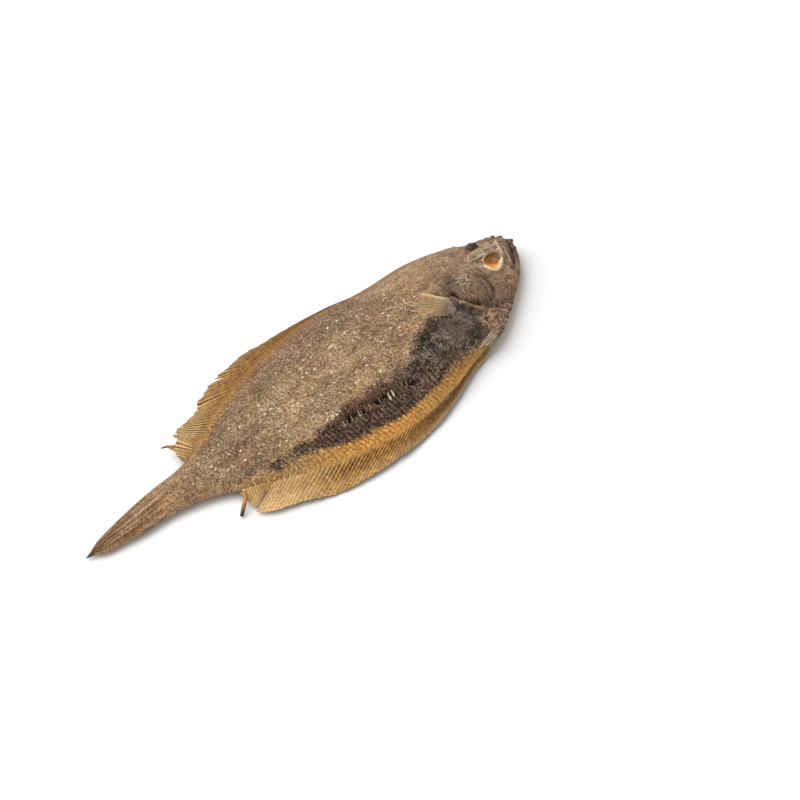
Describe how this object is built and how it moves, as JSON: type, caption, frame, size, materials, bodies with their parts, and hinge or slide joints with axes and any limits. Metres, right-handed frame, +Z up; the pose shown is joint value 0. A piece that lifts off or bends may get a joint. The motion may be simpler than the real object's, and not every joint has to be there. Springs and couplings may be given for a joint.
{
  "type": "dried dab dog treat",
  "caption": "Whole small flatfish dried flat and stiff, with ribbed fins along both edges, a pointed tail and a bony head, eyed side up; a chew for a dog.",
  "frame": {"origin": "on the ground, under the middle of the fish's plan", "axes": "+X from the tail to the snout, +Y towards the back fin, +Z up from the blind side to the eyed side"},
  "size_m": [0.2014, 0.0828, 0.0138],
  "materials": {
    "skin": "matte",
    "fin": "satin",
    "bone": "satin",
    "eye": "gloss"
  },
  "bodies": {
    "root": {"dried_dab": "skin"}
  },
  "joints": []
}
